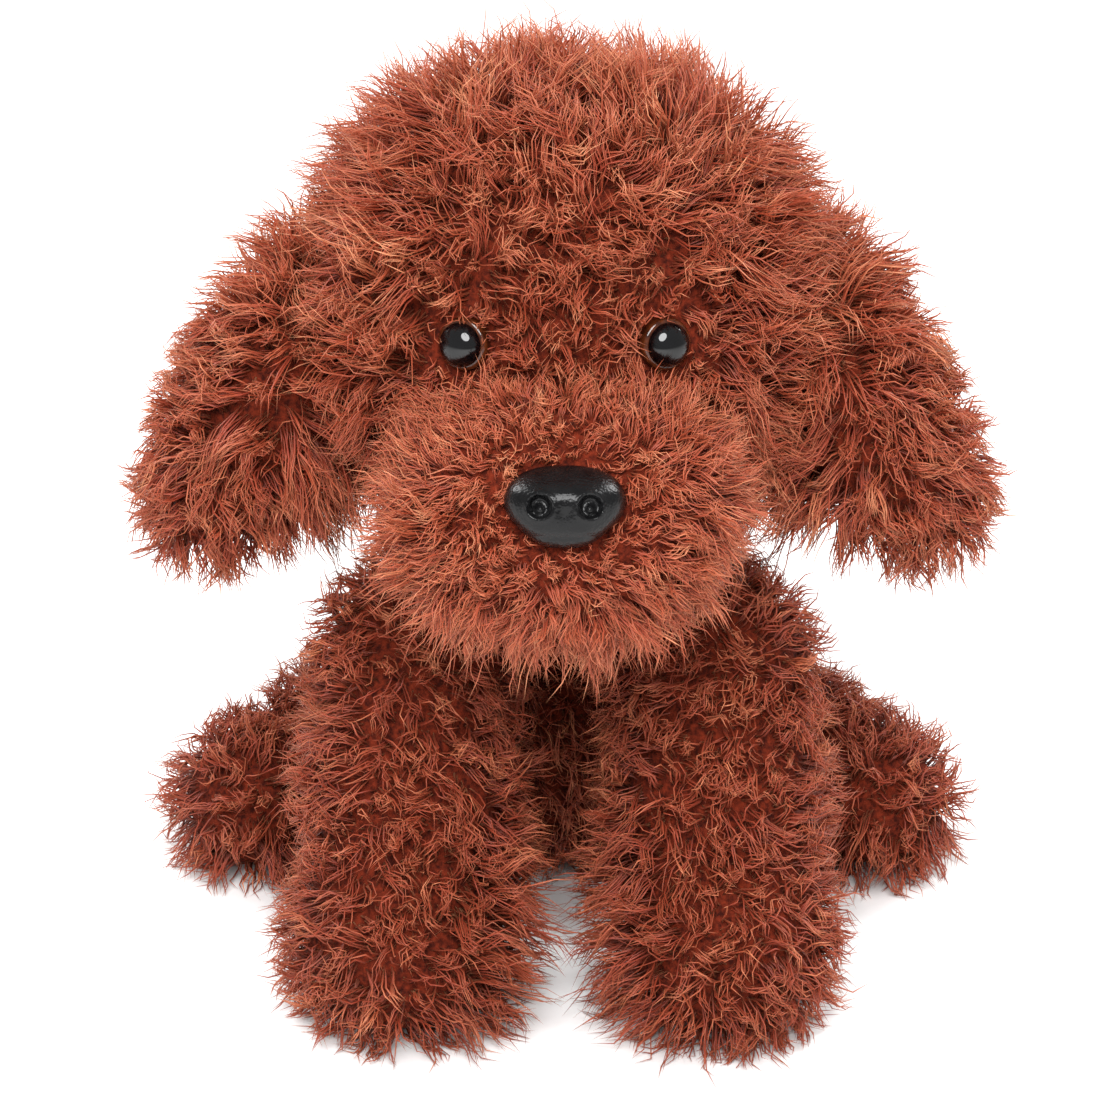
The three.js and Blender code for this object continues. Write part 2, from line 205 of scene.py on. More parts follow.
def hollow_fibre():
    """White crimped polyester fibre, loose and lumpy, in hanks about 4 mm wide."""
    material, tree, shader = new_material("hollow_fibre", Roughness=0.9, Sheen_Weight=0.3)
    place = add_node(tree, "TexCoord").outputs["Object"]
    crimp = add_node(tree, "TexNoise", Vector=place, Scale=260.0, Detail=5.0, Distortion=1.5)
    colour = add_ramp(tree, crimp.outputs["Fac"], [(0.3, "#dcd8ce"), (0.7, "#faf8f4")])
    tree.links.new(colour, shader.inputs["Base Color"])
    add_bump(tree, shader, crimp.outputs["Fac"], 1.0)
    return material


def pouch_cotton():
    """Unbleached plain-woven cotton. Its threads are 0.4 mm apart, drawn at 0.8 mm to show."""
    material, tree, shader = new_material("pouch_cotton", Roughness=0.85, Sheen_Weight=0.1)
    place = add_node(tree, "TexCoord").outputs["Object"]
    warp = add_node(tree, "TexWave", {"bands_direction": "X"}, Vector=place, Scale=200.0)
    weft = add_node(tree, "TexWave", {"bands_direction": "Y"}, Vector=place, Scale=200.0)
    weave = add_node(tree, "Math", {"operation": "MULTIPLY"}, i0=warp.outputs["Fac"], i1=weft.outputs["Fac"])
    colour = add_ramp(tree, weave.outputs[0], [(0.0, "#b3a88c"), (0.6, "#dcd3bd")])
    tree.links.new(colour, shader.inputs["Base Color"])
    add_bump(tree, shader, weave.outputs[0], 0.2)
    return material


def moulded_eye(name, deep, light, spread):
    """Polished acrylic. Slow swirls of its dye show under a clear hard gloss."""
    material, tree, shader = new_material(
        name, Roughness=0.05, IOR=1.49, Specular_IOR_Level=0.5
    )
    place = add_node(tree, "TexCoord").outputs["Object"]
    swirl = add_node(tree, "TexNoise", Vector=place, Scale=spread, Detail=3.0)
    colour = add_ramp(tree, swirl.outputs["Fac"], [(0.3, deep), (0.7, light)])
    tree.links.new(colour, shader.inputs["Base Color"])
    return material


def moulded_nose():
    """Black ABS from a mould with an etched pebble, grains about 0.5 mm, which breaks its satin gloss."""
    material, tree, shader = new_material("nose_abs", Roughness=0.26, IOR=1.53, Specular_IOR_Level=0.22)
    place = add_node(tree, "TexCoord").outputs["Object"]
    pebble = add_node(tree, "TexVoronoi", {"feature": "SMOOTH_F1"}, Vector=place, Scale=1700.0)
    wear = add_node(tree, "TexNoise", Vector=place, Scale=300.0, Detail=3.0)
    colour = add_ramp(tree, wear.outputs["Fac"], [(0.3, "#060607"), (0.7, "#0f0f10")])
    tree.links.new(colour, shader.inputs["Base Color"])
    gloss = add_node(tree, "MapRange", Value=wear.outputs["Fac"], To_Min=0.2, To_Max=0.32)
    tree.links.new(gloss.outputs["Result"], shader.inputs["Roughness"])
    add_bump(tree, shader, pebble.outputs["Distance"], 0.09)
    return material


def moulded_washer():
    """Natural polyethylene, milky and waxy, with faint flow marks from the mould."""
    material, tree, shader = new_material("washer_polyethylene", Roughness=0.45, IOR=1.51)
    place = add_node(tree, "TexCoord").outputs["Object"]
    flow = add_node(tree, "TexNoise", Vector=place, Scale=220.0, Detail=2.0, Distortion=2.0)
    colour = add_ramp(tree, flow.outputs["Fac"], [(0.3, "#d8d8d2"), (0.7, "#efefea")])
    tree.links.new(colour, shader.inputs["Base Color"])
    return material


# ---- Padded skins and stuffing ---------------------------------------------------------------------------------------


def new_piece(name, mesh, material):
    piece = bpy.data.objects.new(name, mesh)
    bpy.context.collection.objects.link(piece)
    mesh.materials.append(material)
    return piece


def merged_nodes(nodes):
    """One mesh of some CAD nodes, with their loose triangles joined."""
    shape = bmesh.new()
    for node in nodes:
        shape.from_mesh(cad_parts[node].data)
    bmesh.ops.remove_doubles(shape, verts=shape.verts, dist=1e-6)
    mesh = bpy.data.meshes.new("merged")
    shape.to_mesh(mesh)
    shape.free()
    return mesh


def apply_modifiers(piece):
    depsgraph = bpy.context.evaluated_depsgraph_get()
    mesh = bpy.data.meshes.new_from_object(piece.evaluated_get(depsgraph))
    piece.modifiers.clear()
    piece.data = mesh


def relax(shape, rounds):
    for _ in range(rounds):
        bmesh.ops.smooth_vert(
            shape, verts=shape.verts, factor=0.5, use_axis_x=True, use_axis_y=True, use_axis_z=True
        )


def soft_form(name, nodes, material, voxel, sunk, lumps=0.0, lump_size=8.0):
    """The smooth closed form of some CAD nodes, drawn in by sunk mm, with hollows up to lumps mm deep."""
    piece = new_piece(name, merged_nodes(nodes), material)
    remesh = piece.modifiers.new("remesh", "REMESH")
    remesh.mode = "VOXEL"
    remesh.voxel_size = voxel * MM
    apply_modifiers(piece)
    shape = bmesh.new()
    shape.from_mesh(piece.data)
    relax(shape, 6)
    for _ in range(5):
        shape.normal_update()
        for v in shape.verts:
            v.co -= v.normal * sunk / 5 * MM
        relax(shape, 2)
    shape.normal_update()
    for v in shape.verts:
        hollow = 0.5 - 0.5 * noise.noise(v.co / (lump_size * MM))
        v.co -= v.normal * hollow * lumps * MM
    shape.to_mesh(piece.data)
    shape.free()
    piece.data.polygons.foreach_set("use_smooth", [True] * len(piece.data.polygons))
    return piece


def padded_skin(name, body, nodes, inner, voxel=3.0, sunk=0.6):
    """The cloth under the pile, from the panels and what fills them."""
    piece = soft_form(name, nodes + inner, BACKING, voxel, sunk)
    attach(piece, body)
    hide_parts(*nodes)
    return piece


def stuffing(name, body, node, material, lumps, lump_size):
    """What fills a skin, which shows the lumps of its hanks or pellets."""
    piece = soft_form(name, [node], material, 2.5, 0.6, lumps, lump_size)
    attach(piece, body)
    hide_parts(node)


# ---- Pile --------------------------------------------------------------------------------------------------------

LOCK_RINGS = 4
LOCK_SIDES = 3
LOCK_PROFILE = np.array([0.8, 1.0, 1.0, 0.75, 0.0])


def lock_template():
    """One lock, a tube of rings that is closed at its root and ends in a point: each corner's ring and angle, and
    the triangles between them."""
    shape = bmesh.new()
    made = bmesh.ops.create_circle(shape, cap_ends=True, segments=LOCK_SIDES, radius=1)
    edges = list({e for v in made["verts"] for e in v.link_edges})
    for _ in range(LOCK_RINGS):
        grown = bmesh.ops.extrude_edge_only(shape, edges=edges)["geom"]
        verts = [g for g in grown if isinstance(g, bmesh.types.BMVert)]
        edges = [g for g in grown if isinstance(g, bmesh.types.BMEdge) and set(g.verts) <= set(verts)]
        bmesh.ops.translate(shape, verts=verts, vec=(0, 0, 1))
    bmesh.ops.pointmerge(shape, verts=verts, merge_co=(0, 0, LOCK_RINGS))
    bmesh.ops.recalc_face_normals(shape, faces=shape.faces)
    bmesh.ops.triangulate(shape, faces=shape.faces)
    shape.verts.index_update()
    ring = np.array([round(v.co.z) for v in shape.verts])
    angle = np.array([math.atan2(v.co.y, v.co.x) for v in shape.verts])
    faces = np.array([[v.index for v in f.verts] for f in shape.faces])
    shape.free()
    return ring, angle, faces


RING, ANGLE, FACES = lock_template()


def unit(vectors):
    return vectors / np.maximum(np.linalg.norm(vectors, axis=-1, keepdims=True), 1e-12)


def flattened(vectors, normals):
    """Vectors laid flat on a surface."""
    return vectors - normals * np.sum(vectors * normals, axis=1, keepdims=True)


def each(value, points):
    """A number or a vector, once for each point."""
    return np.full((len(points),) + np.shape(value), value, float)


def sown(mesh, count, draw):
    """Points spread evenly at random over a mesh, with its smooth normals there."""
    mesh.calc_loop_triangles()
    corners = np.empty(len(mesh.loop_triangles) * 3, int)
    mesh.loop_triangles.foreach_get("vertices", corners)
    corners = corners.reshape(-1, 3)
    places, normals = np.empty((2, len(mesh.vertices) * 3))
    mesh.vertices.foreach_get("co", places)
    mesh.vertices.foreach_get("normal", normals)
    places, normals = places.reshape(-1, 3), normals.reshape(-1, 3)
    a, b, c = (places[corners[:, i]] for i in range(3))
    areas = np.linalg.norm(np.cross(b - a, c - a), axis=1)
    chosen = draw.choice(len(areas), count, p=areas / areas.sum())
    u, v = draw.random((2, count, 1))
    over = (u + v) > 1
    u, v = np.where(over, 1 - u, u), np.where(over, 1 - v, v)
    shares = (1 - u - v, u, v)
    points = sum(s * places[corners[chosen, i]] for i, s in enumerate(shares))
    ways = sum(s * normals[corners[chosen, i]] for i, s in enumerate(shares))
    return points, unit(ways)


def nearest(points, targets):
    tree = kdtree.KDTree(len(targets))
    for i, target in enumerate(targets):
        tree.insert(target, i)
    tree.balance()
    return np.array([tree.find(p)[1] for p in points], int)


def buried(points, skin):
    """Which points lie inside a skin."""
    corners = np.array([v.co for v in skin.data.vertices])
    near = np.all((points > corners.min(0)) & (points < corners.max(0)), axis=1)
    tree = bvhtree.BVHTree.FromPolygons(corners.tolist(), [p.vertices for p in skin.data.polygons])
    inside = np.zeros(len(points), bool)
    for i in np.flatnonzero(near):
        hit, way, _, _ = tree.find_nearest(points[i])
        inside[i] = (Vector(points[i]) - hit).dot(way) < 0
    return inside


def drift(points, size):
    """A direction at each point that wanders over about size mm, as pile does."""
    return np.array([noise.noise_vector(Vector(p) / (size * MM)) for p in points]) * 1.6


def grow_pile(name, body, skin, material, seed, count, tuft, style, others=(), keep=None):
    """Locks rooted in a skin, about count of them over the whole skin. Each belongs to a tuft about as wide as tuft
    mm, and nears that tuft's line. style gives, for roots and normals, how the tufts there lie."""
    draw = np.random.default_rng(seed)
    roots, normals = sown(skin.data, count, draw)
    beneath = (normals[:, 2] < -0.75) & (draw.random(count) < 0.6)
    held = ~beneath if keep is None else keep(roots) & ~beneath
    roots, normals = roots[held], normals[held]
    for other in others:
        free = ~buried(roots + normals * 1.5 * MM, other)
        roots, normals = roots[free], normals[free]
    tufts = max(1, int(sum(p.area for p in skin.data.polygons) / (tuft * MM) ** 2))
    centres, ways = sown(skin.data, tufts, draw)
    lay = style(centres, ways)
    own = unit(flattened(draw.normal(size=centres.shape), ways))
    own = unit(own + flattened(drift(centres, 16), ways))
    start = unit(ways * lay["stand"][:, None] + lay["comb"] + own * lay["wild"][:, None])
    length = lay["length"] * draw.uniform(0.75, 1.2, tufts) * (1 + 0.14 * drift(centres, 22)[:, 0])
    sideways = unit(np.cross(start, draw.normal(size=centres.shape)))
    across = np.cross(start, sideways)
    phase = draw.uniform(0, 2 * math.pi, tufts)
    turns = draw.uniform(0.8, 1.35, tufts) * draw.choice([-1, 1], tufts)
    curl = lay["curl"] * draw.uniform(0.6, 1.3, tufts)

    home = nearest(roots, centres)
    count = len(roots)
    stray = draw.random(count) < 0.08
    scatter = draw.normal(size=(count, 3)) * np.where(stray, 0.55, 0.2)[:, None]
    mine = unit(start[home] + scatter)
    long = length[home] * draw.uniform(0.7, 1.1, count) * np.where(stray, 1.1, 1.0) * MM
    clump = lay["clump"][home] * draw.uniform(0.75, 1.1, count) * np.where(stray, 0.3, 1.0)
    drop = lay["droop"][home] * long
    own_phase = draw.normal(0, 0.5, count)
    own_curl = draw.uniform(0.7, 1.3, count)
    path = np.empty((count, LOCK_RINGS + 1, 3))
    for k in range(LOCK_RINGS + 1):
        t = k / LOCK_RINGS
        swing = 2 * math.pi * turns[home] * t + phase[home] + own_phase
        wave = curl[home] * own_curl * math.sqrt(t) * MM
        bend = (np.cos(swing) * wave)[:, None] * sideways[home]
        bend += (np.sin(swing) * wave)[:, None] * across[home]
        alone = roots + mine * (long * t)[:, None]
        shared = centres[home] + start[home] * (long * t)[:, None]
        pull = np.clip(clump * (1.5 * t - 0.5 * t * t), 0, 1)[:, None]
        path[:, k] = alone * (1 - pull) + shared * pull + bend * t - UP * (drop * t * t)[:, None]
    path[:, 0] -= normals * MM
    path[:, :, 2] = np.clip(path[:, :, 2], 0.5 * MM, CAD_BOX[1][2] + 15.5 * MM)

    along = unit(np.gradient(path, axis=1))
    side = unit(np.cross(along, unit(scatter + start[home] * 0.01)[:, None, :]))
    other_side = np.cross(along, side)
    thick = lay["thick"][home] * draw.uniform(0.7, 1.25, count)
    radius = thick[:, None] * LOCK_PROFILE[RING][None, :] * MM
    corners = path[:, RING] + side[:, RING] * (np.cos(ANGLE) * radius)[..., None]
    corners += other_side[:, RING] * (np.sin(ANGLE) * radius)[..., None]
    corners[..., 2] = np.maximum(corners[..., 2], 0.1 * MM)
    faces = (FACES[None] + (np.arange(count) * len(RING))[:, None, None]).astype(np.int32)
    mesh = bpy.data.meshes.new(name)
    mesh.vertices.add(count * len(RING))
    mesh.vertices.foreach_set("co", corners.reshape(-1))
    mesh.loops.add(faces.size)
    mesh.loops.foreach_set("vertex_index", faces.reshape(-1))
    mesh.polygons.add(count * len(FACES))
    mesh.polygons.foreach_set("loop_start", np.arange(0, faces.size, 3, dtype=np.int32))
    mesh.polygons.foreach_set("use_smooth", np.ones(count * len(FACES), bool))
    mesh.update(calc_edges=True)
    tuft_tone = draw.exponential(0.2, tufts)
    tones = np.clip(tuft_tone[home] + draw.normal(0, 0.15, count), 0, 1)
    for attribute, values in (
        ("along", np.tile(RING / LOCK_RINGS, count)),
        ("tone", np.repeat(tones, len(RING))),
    ):
        layer = mesh.attributes.new(attribute, "FLOAT", "POINT")
        layer.data.foreach_set("value", values.astype(np.float32))
    piece = new_piece(name, mesh, material)
    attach(piece, body)
    print("PILE", name, "locks", count, "triangles", count * len(FACES))
    return piece


# ---- Safety eyes and nose -----------------------------------------------------------------------------------------

EYE_TURN, EYE_PITCH = 26, 9
PUPIL_RADIUS, PUPIL_HEIGHT = 5, 3.4
PUPIL_STANDS = 3.4  # above the back of the iris
NOSE_PITCH = 22
NOSE_HALF_WIDTH, NOSE_HALF_HEIGHT, NOSE_DEPTH = 13.3, 9, 9.5
NOSTRIL_ACROSS, NOSTRIL_ABOVE = 5.4, 0.2


def aimed(turn, pitch):
    """Stands +Z the way something looks: turned from -Y towards +X, and pitched up from level, in degrees."""
    turned = Matrix.Rotation(math.radians(turn), 3, "Z")
    return turned @ Matrix.Rotation(math.radians(90 - pitch), 3, "X")


def seat_of(node, way, radii):
    """The middle of a dome's flat back, from its node's box, its aim and its radii in mm."""
    low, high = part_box(node)
    place = (np.array(low) + np.array(high)) / 2
    for i in range(3):
        reach = math.hypot(*(radii[k] * MM * way[i][k] for k in range(3)))
        if way[i][2] > 1e-6:
            place[i] = high[i] - reach
        if way[i][2] < -1e-6:
            place[i] = low[i] + reach
    return Vector(place)


def stood(shape, way, at):
    bmesh.ops.transform(shape, matrix=Matrix.Translation(at) @ way.to_4x4(), verts=shape.verts)


def turned_piece(name, body, nodes, material, profile, way, at, loop=False):
    """A piece turned about its aim from a profile of radii and heights in mm. A loop is a ring with a hole."""
    shape = bmesh.new()
    verts = [shape.verts.new((radius * MM, 0, height * MM)) for radius, height in profile]
    pairs = list(zip(verts, verts[1:])) + ([(verts[-1], verts[0])] if loop else [])
    edges = [shape.edges.new(pair) for pair in pairs]
    bmesh.ops.spin(
        shape, geom=verts + edges, cent=(0, 0, 0), axis=(0, 0, 1), angle=2 * math.pi, steps=72, use_merge=True
    )
    bmesh.ops.remove_doubles(shape, verts=shape.verts, dist=1e-6)
    bmesh.ops.recalc_face_normals(shape, faces=shape.faces)
    stood(shape, way, at)
    mesh = bpy.data.meshes.new(name)
    shape.to_mesh(mesh)
    shape.free()
    mesh.polygons.foreach_set("use_smooth", [True] * len(mesh.polygons))
    mesh.set_sharp_from_angle(angle=math.radians(50))
    piece = new_piece(name, mesh, material)
    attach(piece, body)
    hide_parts(*nodes)
    return piece


def arc(radius, height, steps=14):
    """A dome's profile, from its rim to its top."""
    turns = [math.pi / 2 * i / steps for i in range(steps + 1)]
    return [(radius * math.cos(t), height * math.sin(t)) for t in turns]


def washer_profile(hole, rim, top, thickness):
    """A lock washer: a thin dished ring with a collar that grips the shank."""
    low = top - thickness
    return [
        (hole, low), (hole + 1.2, low), (rim - 0.4, low + 0.5), (rim, low + 0.9),
        (rim, top - 0.1), (rim - 0.3, top), (hole + 1.0, top), (hole, top - 0.2),
    ]


def add_eye(side, word):
    way = aimed(side * EYE_TURN, EYE_PITCH)
    seat = seat_of("eye_pupil_" + word, way, (PUPIL_RADIUS, PUPIL_RADIUS, PUPIL_HEIGHT))
    seat -= way @ Vector((0, 0, PUPIL_STANDS * MM))
    rim = [(0, -13), (1.6, -13), (2, -12.4), (2, 0), (5.5, 0), (5.9, 0.3), (6, 0.8), (6, 2.2)]
    iris = rim + [(5.9, 2.7), (5.6, 3.05), (5.2, 3.2), (4.4, 3.25), (0, 3.3)]
    iris_nodes = ["eye_iris_" + word]
    turned_piece("iris_" + word, "head", iris_nodes, EYE_BROWN, iris, way, seat)
    dome = [(0, 3.32), (4.8, 3.32), (5, 3.4)] + [(r, PUPIL_STANDS + h) for r, h in arc(5, 3.4)[1:]]
    pupil_nodes = ["eye_pupil_" + word]
    turned_piece("pupil_" + word, "head", pupil_nodes, EYE_BLACK, dome, way, seat)
    ring = washer_profile(2.4, 6.5, -2.3, 1.6)
    ring_nodes = ["eye_washer_" + word]
    turned_piece(
        "eye_lock_" + word, "head", ring_nodes, WASHER_WHITE, ring, way, seat, True
    )
    return seat + way @ Vector((0, 0, 4 * MM))


def bell(distance, width):
    return math.exp(-((distance / width) ** 2))


def ease(value, start, end):
    """0 up to start and 1 from end, and smooth between."""
    t = min(1, max(0, (value - start) / (end - start)))
    return t * t * (3 - 2 * t)


def nose_point(v):
    """Where a point of a round half ball goes on the moulded nose, in mm: x across, y up and z out."""
    boxy = sum(abs(n) ** 2.5 for n in v.co) ** (-1 / 2.5)
    x, y, z = v.co * boxy
    narrow = 1 - 0.3 * ease(-y, -0.15, 1.0)
    brow = 1 + 0.06 * bell(y - 0.2, 0.25) * bell(x, 0.8) - 0.42 * ease(y, 0.3, 1.05)
    across, above = x * NOSE_HALF_WIDTH * narrow, y * NOSE_HALF_HEIGHT
    out = z * NOSE_DEPTH * brow * (1 - 0.1 * ease(-y, 0.2, 1.0))
    front = ease(z, 0.3, 0.7)
    from_nostril = math.hypot(abs(across) - NOSTRIL_ACROSS, above - NOSTRIL_ABOVE)
    out -= 2.2 * front * math.exp(-((from_nostril / 2.4) ** 6))
    out += 0.35 * front * bell(from_nostril - 2.9, 0.7)
    boss = math.hypot(abs(across) - NOSTRIL_ACROSS, above - NOSTRIL_ABOVE + 0.7)
    out += 1.7 * front * bell(boss, 1.2)
    out -= 0.6 * front * bell(across, 0.9) * ease(-y, -0.05, 0.25)
    out -= 0.4 * front * bell(above + 6.4, 0.8)
    return Vector((across, above, out)) * MM


def add_nose():
    way = aimed(0, NOSE_PITCH)
    seat = seat_of("nose", way, (NOSE_HALF_WIDTH, NOSE_HALF_HEIGHT, NOSE_DEPTH))
    shape = bmesh.new()
    bmesh.ops.create_icosphere(shape, subdivisions=6, radius=1)
    everything = shape.verts[:] + shape.edges[:] + shape.faces[:]
    bmesh.ops.bisect_plane(shape, geom=everything, plane_co=(0, 0, 0), plane_no=(0, 0, -1), clear_outer=True)
    open_edges = [e for e in shape.edges if len(e.link_faces) == 1]
    for v in shape.verts:
        v.co = nose_point(v)
    back = bmesh.ops.extrude_edge_only(shape, edges=open_edges)["geom"]
    back_verts = [g for g in back if isinstance(g, bmesh.types.BMVert)]
    bmesh.ops.translate(shape, verts=back_verts, vec=(0, 0, -1.5 * MM))
    rim = [g for g in back if isinstance(g, bmesh.types.BMEdge) and set(g.verts) <= set(back_verts)]
    bmesh.ops.contextual_create(shape, geom=rim)
    bmesh.ops.recalc_face_normals(shape, faces=shape.faces)
    stood(shape, way, seat)
    mesh = bpy.data.meshes.new("nose_front")
    shape.to_mesh(mesh)
    shape.free()
    mesh.polygons.foreach_set("use_smooth", [True] * len(mesh.polygons))
    mesh.set_sharp_from_angle(angle=math.radians(50))
    piece = new_piece("nose_front", mesh, NOSE_BLACK)
    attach(piece, "head")
    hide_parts("nose")
    shank = [(0, -15), (2.1, -15), (2.5, -14.4), (2.5, -1.2), (0, -1.2)]
    turned_piece("nose_shank", "head", [], NOSE_BLACK, shank, way, seat)
    ring = washer_profile(2.9, 7, -5.1, 1.6)
    nodes = ["nose_washer"]
    turned_piece("nose_lock", "head", nodes, WASHER_WHITE, ring, way, seat, True)
    return seat


# ---- The dog -----------------------------------------------------------------------------------------------------

add_camera()
add_studio()

BACKING = backing_cloth()
FIBRE = hollow_fibre()
COTTON = pouch_cotton()
EYE_BROWN = moulded_eye("eye_brown_acrylic", "#2c1006", "#5a2a12", 500.0)
EYE_BLACK = moulded_eye("eye_black_acrylic", "#030304", "#08080a", 200.0)
NOSE_BLACK = moulded_nose()
WASHER_WHITE = moulded_washer()
# The three piles are one fabric. Their colours differ by painted light and shade: the body's copy, on the neck, torso,
# tail and legs, is darkest, and the muzzle's is lightest.
HEAD_PILE = curly_pile("head_pile", "#4a140a", "#8c3420", "#a84c2e", "#e29a70")
MUZZLE_PILE = curly_pile("muzzle_pile", "#5a1c10", "#9a4028", "#b25838", "#e29a70")
BODY_PILE = curly_pile("body_pile", "#421309", "#84301d", "#9e452b", "#da8a60")

EYES = [add_eye(side, word) for side, word in SIDES]
NOSE = np.array(add_nose())
MUZZLE = middle("muzzle_chin", "muzzle_bridge")
SKULL = middle("head_side_left", "head_side_right")

skins = {
    "skull": padded_skin(
        "head_skin", "head", ["head_side_left", "head_gusset", "head_side_right"], ["head_fill"]
    ),
    "muzzle": padded_skin("muzzle_skin", "head", ["muzzle_bridge", "muzzle_chin"], ["muzzle_fill"], 2.5, 0.8),
    "neck": padded_skin("neck_skin", "neck", ["neck_band"], ["neck_fill"]),
    "torso": padded_skin(
        "torso_skin",
        "torso",
        ["torso_belly", "torso_base", "torso_side_left", "torso_side_right"],
        ["torso_fill"],
    ),
    "tail": padded_skin("tail_skin", "tail", ["tail_skin_left", "tail_skin_right"], ["tail_fill"], 2.0, 0.5),
}
for side, word in SIDES:
    ear_nodes = ["ear_outer_" + word, "ear_lining_" + word]
    skins["ear_" + word] = padded_skin(
        "ear_skin_" + word, "ear_" + word, ear_nodes, ["ear_wadding_" + word], 2.5, 0.5
    )
    front_nodes = [n + word for n in ("front_leg_inner_", "front_leg_outer_", "front_sole_")]
    skins["front_" + word] = padded_skin(
        "front_leg_skin_" + word, "front_leg_" + word, front_nodes, ["front_leg_fill_" + word]
    )
    hind_nodes = ["hind_leg_upper_" + word, "hind_leg_lower_" + word]
    skins["hind_" + word] = padded_skin(
        "hind_leg_skin_" + word, "hind_leg_" + word, hind_nodes, ["hind_leg_fill_" + word]
    )

for body, node in (
    [("head", "head_fill"), ("head", "muzzle_fill"), ("neck", "neck_fill"), ("torso", "torso_fill")]
    + [("tail", "tail_fill")]
    + [("ear_" + word, "ear_wadding_" + word) for _, word in SIDES]
    + [("front_leg_" + word, "front_leg_fill_" + word) for _, word in SIDES]
    + [("hind_leg_" + word, "hind_leg_fill_" + word) for _, word in SIDES]
):
    stuffing(node + "_fibre", body, node, FIBRE, 1.6, 9.0)
stuffing("pellet_bag", "torso", "pellet_pouch", COTTON, 1.2, 3.0)


def others_of(name):
    return [skins[n] for n in skins if n != name]


def skull_style(points, normals):
    """Long pile, brushed out from the face, up over the brow and down at the sides, and left wild on the crown."""
    face = SKULL + np.array([0, -50, 5]) * MM
    away = unit(flattened(points - face, normals))
    height = np.clip((points[:, 2] - SKULL[2]) / (50 * MM), -1, 1)
    beside = np.clip(abs(points[:, 0]) / (22 * MM) - 0.6, 0, 1)
    near_eye = np.min([np.linalg.norm(points - e, axis=1) for e in EYES], axis=0) / MM
    from_eyes = sum(
        unit(flattened(points - e, normals)) * np.exp(-((np.linalg.norm(points - e, axis=1) / MM / 12) ** 2))[:, None]
        for e in np.array(EYES)
    )
    return {
        "stand": each(0.8, points),
        "comb": away * 0.25 + from_eyes * 0.5,
        "wild": each(0.75, points),
        "length": (11.5 + 7 * np.clip(height, 0, 1) + 6 * beside) * np.clip((near_eye - 3.5) / 15, 0.3, 1),
        "curl": each(2.1, points),
        "clump": each(0.72, points),
        "droop": each(0.05, points),
        "thick": each(0.205, points),
    }


def muzzle_style(points, normals):
    """Fine straight pile, combed out all round from the nose and longest under the chin."""
    away = flattened(points - NOSE, normals)
    far = np.linalg.norm(points - NOSE, axis=1) / MM
    chin = np.clip((MUZZLE[2] - points[:, 2]) / (22 * MM), 0, 1)
    return {
        "stand": each(0.6, points),
        "comb": unit(away) * np.clip(far / 40, 0.2, 0.6)[:, None] - UP * 0.2 * chin[:, None],
        "wild": each(0.65, points),
        "length": np.clip(far * 0.38, 5.5, 13.5) + 1.5 * chin,
        "curl": each(1.5, points),
        "clump": each(0.55, points),
        "droop": 0.12 * chin,
        "thick": each(0.18, points),
    }


def ear_style(points, normals):
    """Shaggy curls that hang and spread, and stand up over the seam at the top to meet the head's."""
    top = np.clip(1 - (SKULL[2] + 17 * MM - points[:, 2]) / (25 * MM), 0, 1)
    lift = UP * 0.7 + np.sign(points[:, :1]) * np.array([[0.5, 0, 0]])
    centre = abs(points[:, 0]).mean() - 2 * MM
    inner = np.clip((centre - abs(points[:, 0])) / (8 * MM), 0, 1) * (1 - top)
    inward = -np.sign(points[:, :1]) * np.array([[1, 0, 0]])
    return {
        "stand": each(0.8, points),
        "comb": flattened(each(-UP, points), normals) * 0.3 * (1 - top)[:, None]
        + lift * top[:, None] + inward * inner[:, None] * 0.6,
        "wild": each(0.75, points),
        "length": 13.5 + 7 * top + 8 * inner,
        "curl": each(2.1, points),
        "clump": each(0.75, points),
        "droop": each(0.15, points),
        "thick": each(0.215, points),
    }


def body_style(points, normals):
    """Short tight tufts that lie every way."""
    return {
        "stand": each(0.8, points),
        "comb": flattened(each(-UP, points), normals) * 0.2,
        "wild": each(0.85, points),
        "length": each(12.0, points),
        "curl": each(2.1, points),
        "clump": each(0.8, points),
        "droop": each(0.1, points),
        "thick": each(0.215, points),
    }


def neck_style(points, normals):
    """Short pile that stays in the fold between the head and the torso."""
    return body_style(points, normals) | {"length": each(4.0, points)}


def paw_style(sole):
    """Body pile, whose tufts are longer at the foot and splay over the floor round it."""
    centre = middle(sole)

    def style(points, normals):
        lay = body_style(points, normals)
        low = np.clip(1.2 - points[:, 2] / (16 * MM), 0, 1)
        outward = (points - centre) * np.array([1, 1, 0])
        lay["comb"] = lay["comb"] + unit(outward) * 0.6 * low[:, None]
        between = np.clip(-normals[:, 0] * np.sign(points[:, 0]), 0, 1)
        between *= np.clip(2.5 - points[:, 2] / (24 * MM), 0, 1)
        lay["length"] = 12.0 + 2.0 * low + 7.0 * between
        lay["stand"] = 0.8 + 0.8 * between
        return lay

    return style


def clear_of_face(roots):
    """Whether roots are clear of the eyes and of the nose."""
    near_eye = np.min([np.linalg.norm(roots - e, axis=1) for e in np.array(EYES)], axis=0)
    way = np.array(aimed(0, NOSE_PITCH))
    nose = (roots - NOSE) @ way / MM / np.array([NOSE_HALF_WIDTH, NOSE_HALF_HEIGHT, 12])
    return (near_eye > 7.7 * MM) & (np.linalg.norm(nose, axis=1) > 1)


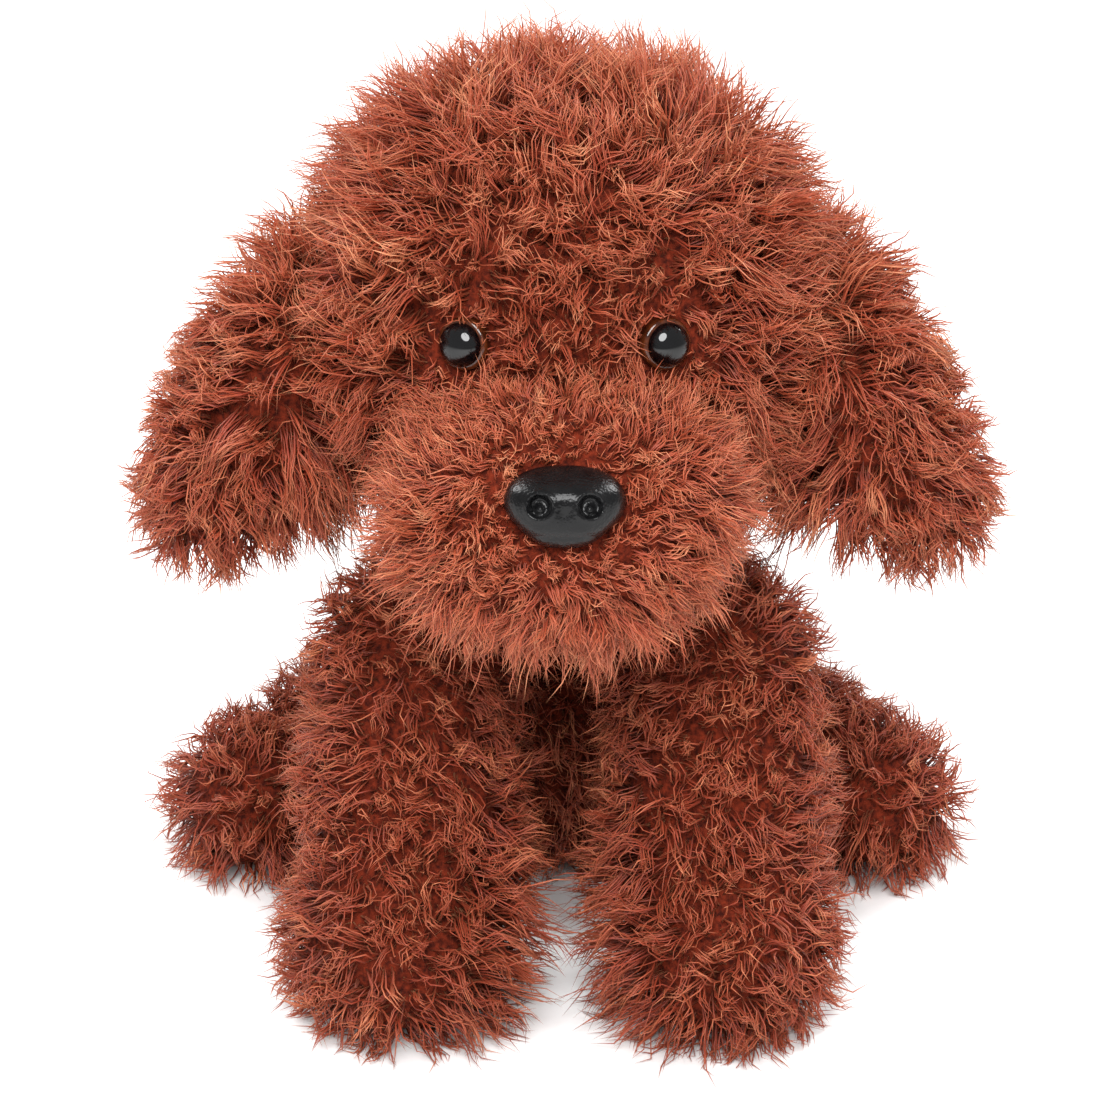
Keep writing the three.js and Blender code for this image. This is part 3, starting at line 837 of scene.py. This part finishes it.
GUSSET_HALF = (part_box("head_gusset")[1][0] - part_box("head_gusset")[0][0]) / 2
for seed, word, low, high in (
    (11, "right", -1.0, -GUSSET_HALF),
    (12, "gusset_right", -GUSSET_HALF, 0.0),
    (13, "gusset_left", 0.0, GUSSET_HALF),
    (14, "left", GUSSET_HALF, 1.0),
):
    grow_pile(
        "head_pile_" + word, "head", skins["skull"], HEAD_PILE, seed, 26000, 3.1, skull_style,
        others_of("skull"), lambda p: clear_of_face(p) & (p[:, 0] >= low) & (p[:, 0] < high),
    )
for seed, word, way in ((21, "right", -1), (22, "left", 1)):
    grow_pile(
        "muzzle_pile_" + word, "head", skins["muzzle"], MUZZLE_PILE, seed, 12500, 2.2, muzzle_style,
        others_of("muzzle"), lambda p: clear_of_face(p) & (p[:, 0] * way > 0),
    )
grow_pile("neck_pile", "neck", skins["neck"], BODY_PILE, 23, 1100, 3.6, neck_style)
TORSO_MIDDLE = middle("torso_base")
for seed, word, way in ((31, "front", -1), (32, "back", 1)):
    grow_pile(
        "torso_pile_" + word, "torso", skins["torso"], BODY_PILE, seed, 11800, 3.1, body_style,
        others_of("torso"), lambda p: (p[:, 1] - TORSO_MIDDLE[1]) * way > 0,
    )
grow_pile("tail_pile", "tail", skins["tail"], BODY_PILE, 41, 2000, 3.2, body_style, others_of("tail"))
for i, (side, word) in enumerate(SIDES):
    ear, front, hind = "ear_" + word, "front_" + word, "hind_" + word
    grow_pile(
        "ear_pile_" + word, ear, skins[ear], HEAD_PILE, 51 + i, 7200, 3.3, ear_style, others_of(ear)
    )
    grow_pile(
        "front_leg_pile_" + word, "front_leg_" + word, skins[front], BODY_PILE, 61 + i, 7450, 3.1,
        paw_style("front_sole_" + word), others_of(front),
    )
    grow_pile(
        "hind_leg_pile_" + word, "hind_leg_" + word, skins[hind], BODY_PILE, 71 + i, 4100, 3.1,
        paw_style("hind_leg_lower_" + word), others_of(hind),
    )


def add_floor():
    """White paper, which runs out past the view."""
    shape = bmesh.new()
    bmesh.ops.create_grid(shape, x_segments=1, y_segments=1, size=4)
    mesh = bpy.data.meshes.new("floor")
    shape.to_mesh(mesh)
    shape.free()
    material, tree, shader = new_material("white_paper", Roughness=0.85)
    place = add_node(tree, "TexCoord").outputs["Object"]
    grain = add_node(tree, "TexNoise", Vector=place, Scale=400.0, Detail=2.0)
    colour = add_ramp(tree, grain.outputs["Fac"], [(0.0, "#f6f5f4"), (1.0, "#fcfcfc")])
    tree.links.new(colour, shader.inputs["Base Color"])
    new_piece("floor", mesh, material)


add_floor()
